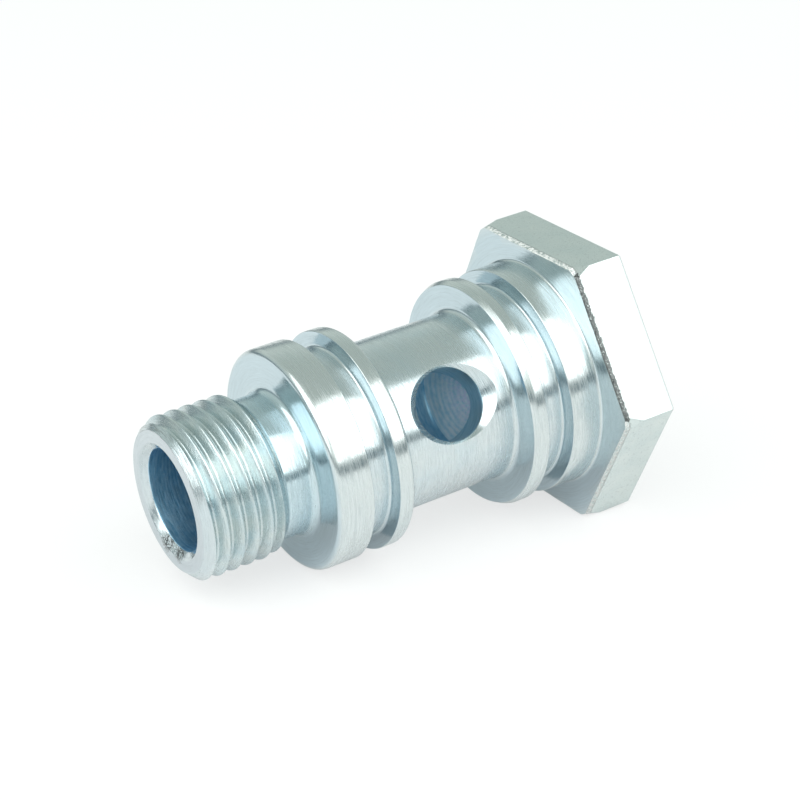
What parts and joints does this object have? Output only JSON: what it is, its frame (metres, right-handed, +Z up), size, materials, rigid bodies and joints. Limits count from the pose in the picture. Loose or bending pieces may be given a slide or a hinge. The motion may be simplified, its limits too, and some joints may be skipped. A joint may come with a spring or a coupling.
{
  "type": "banjo bolt",
  "caption": "Hollow turned bolt with a hexagon head, grooved sealing collars either side of a drilled waist, and a short threaded end.",
  "frame": {"origin": "on the surface that the bolt lies on, under the middle of its bounding box", "axes": "+X along the bolt from the threaded end towards the head, level with the surface; +Z up; +Y across. The bolt's own axis rises about 5 degrees towards the head, because it lies on one flat of the hexagon and on the first collar"},
  "size_m": [0.0482, 0.0312, 0.0273],
  "materials": {
    "plated_steel": "turned and drilled steel under a thin clear zinc plating, with fine turning rings, satin"
  },
  "bodies": {
    "root": {"banjo_bolt": "plated_steel"}
  },
  "joints": []
}
